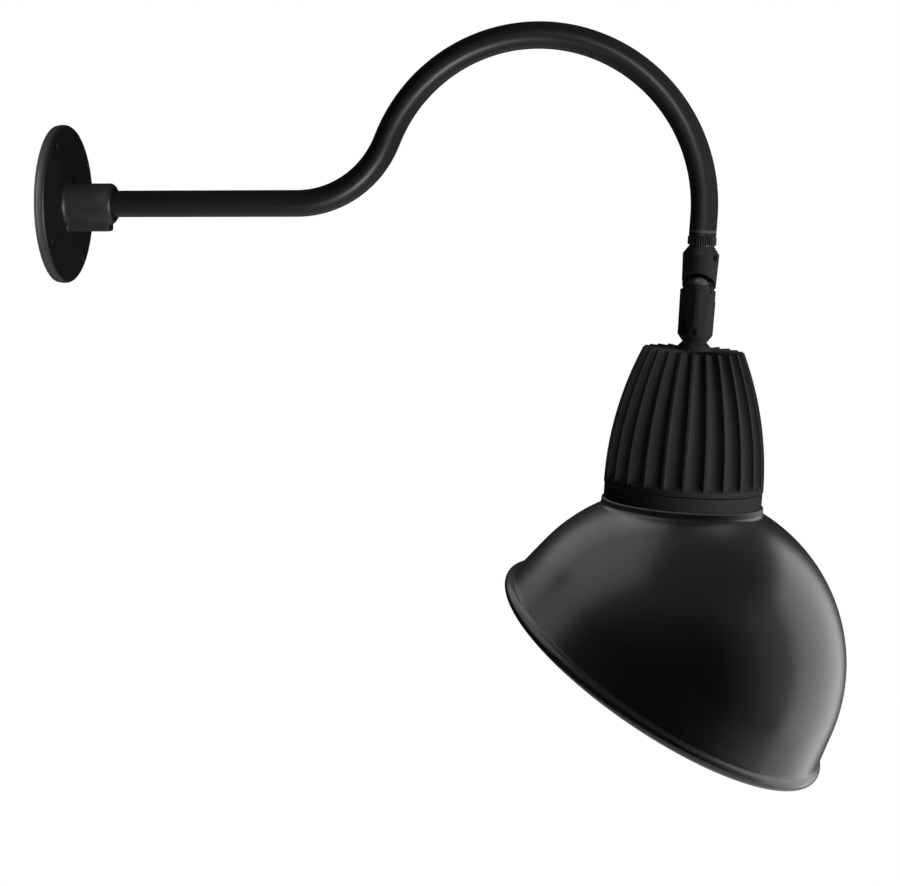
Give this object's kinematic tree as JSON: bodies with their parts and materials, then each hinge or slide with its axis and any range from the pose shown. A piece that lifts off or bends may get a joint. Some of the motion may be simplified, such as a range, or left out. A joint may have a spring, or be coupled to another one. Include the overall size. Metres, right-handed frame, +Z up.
{
  "type": "gooseneck wall light",
  "caption": "Wall light with a bent tube arm, a swivel and tilt knuckle, a finned lamp housing and an angled dome shade that turns on its neck.",
  "frame": {"origin": "centre of the wall plate's bolt circle, on the wall plane", "axes": "the wall is the plane X = 0, +X points out of the wall along the arm's straight run, +Z is up, and -X points into the wall"},
  "size_m": [0.6325, 0.2906, 0.5932],
  "materials": {
    "plate_black": "cast aluminium, satin black powder coat",
    "arm_black": "drawn aluminium tube, satin black powder coat",
    "knuckle_black": "cast aluminium, matte black powder coat, slightly grainy",
    "housing_black": "cast aluminium, matte black powder coat",
    "shade_black": "spun aluminium, satin black powder coat outside, white inside",
    "bare_aluminium": "machined",
    "reflector_bright": "bright",
    "steel": "zinc plated",
    "brass": "green lacquered earth screw",
    "rubber": "moulded rubber",
    "lead_cover": "insulated leads in black, white, green and red",
    "driver_case": "potted white case",
    "pad": "grey heat conducting pad",
    "board_white": "white circuit board",
    "emitter_yellow": "yellow phosphor disc, unlit",
    "lens_glass": "clear flat glass, frosted inside"
  },
  "bodies": {
    "arm": {"wall_plate": "plate_black", "wall_gasket": "rubber", "earth_screw": "brass", "hub_set_screw": "steel", "arm_tube": "arm_black", "arm_leads": "lead_cover", "nipple": "steel"},
    "lock_ring": {"lock_ring": "knuckle_black"},
    "swivel": {"knuckle_upper": "knuckle_black", "upper_set_screw": "steel"},
    "head": {"knuckle_lower": "knuckle_black", "lower_set_screw": "steel", "pivot_bolt": "steel", "bolt_lock_washer": "steel", "knuckle_washer": "rubber", "neck_seal": "rubber", "housing": "housing_black", "driver": "driver_case", "driver_screws": "steel", "driver_leads": "lead_cover", "led_carrier": "bare_aluminium", "carrier_screws": "steel", "thermal_pad": "pad", "led_board": "board_white", "led_emitter": "emitter_yellow", "board_screws": "steel", "board_leads": "lead_cover", "reflector": "reflector_bright", "frame_gasket": "rubber", "lens_frame": "housing_black", "frame_screws": "steel", "lens_gasket": "rubber", "lens": "lens_glass", "clamp_ring": "housing_black", "clamp_screws": "steel"},
    "shade": {"shade": "shade_black"}
  },
  "joints": [
    {"name": "lock_ring_turn", "type": "hinge", "parent": "arm", "child": "lock_ring", "pos_m": [0.52086, 0, -0.02625], "axis": [0.0785, 0, 0.9969], "range_deg": [-45, 45]},
    {"name": "head_swivel", "type": "hinge", "parent": "arm", "child": "swivel", "pos_m": [0.52086, 0, -0.02625], "axis": [0.0785, 0, 0.9969], "range_deg": [-170, 170]},
    {"name": "head_tilt", "type": "hinge", "parent": "swivel", "child": "head", "pos_m": [0.51747, 0, -0.06931], "axis": [0, 1, 0], "range_deg": [-45, 45]},
    {"name": "shade_turn", "type": "hinge", "parent": "head", "child": "shade", "pos_m": [0.52086, 0, -0.02625], "axis": [0.0785, 0, 0.9969], "continuous": true}
  ]
}
